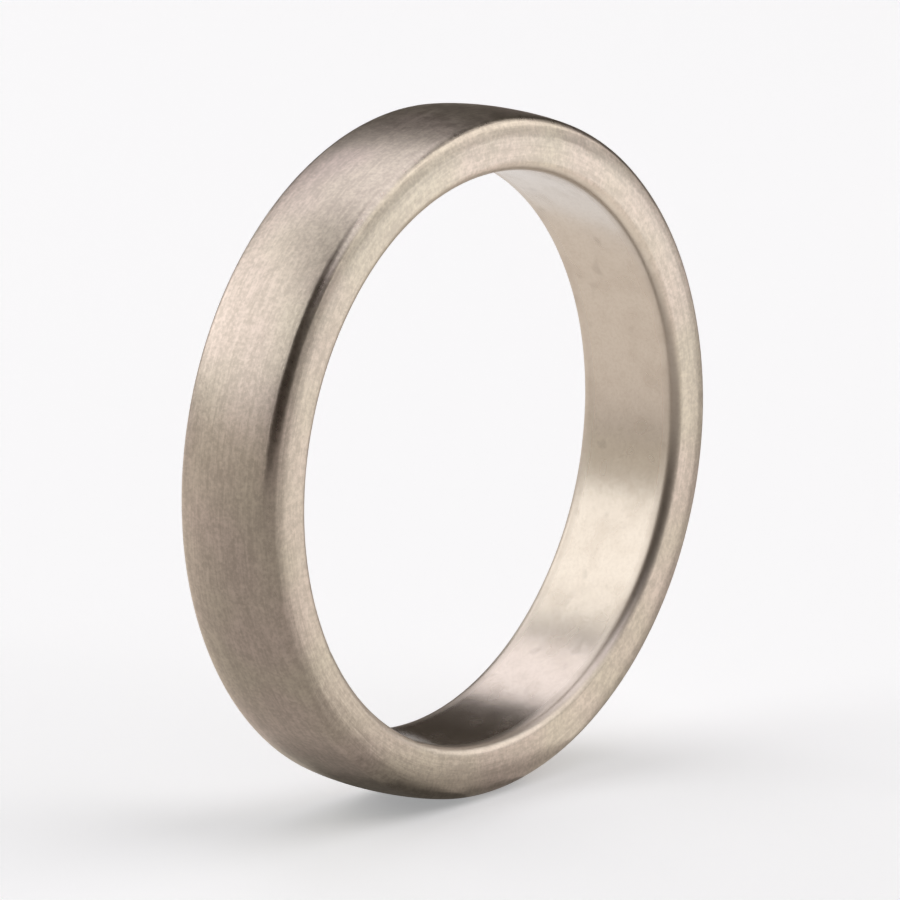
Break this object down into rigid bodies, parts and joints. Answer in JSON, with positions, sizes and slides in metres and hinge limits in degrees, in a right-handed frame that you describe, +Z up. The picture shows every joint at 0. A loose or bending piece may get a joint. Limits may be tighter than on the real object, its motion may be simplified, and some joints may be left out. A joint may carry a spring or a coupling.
{
  "type": "wedding band",
  "caption": "Plain round finger ring with a slightly crowned outer side, flat side faces, softly rounded edges and a smooth straight bore.",
  "frame": {"origin": "centre of the finger bore, half way across the band's width", "axes": "+Y along the bore's axis, +Z up with the band standing on its rim, +X to the side"},
  "size_m": [0.022, 0.004, 0.022],
  "materials": {
    "band_metal": "warm grey white gold with a fine satin brushing round the outside and the side faces and a smoother, lightly worn bore"
  },
  "bodies": {
    "root": {"band": "band_metal"}
  },
  "joints": []
}
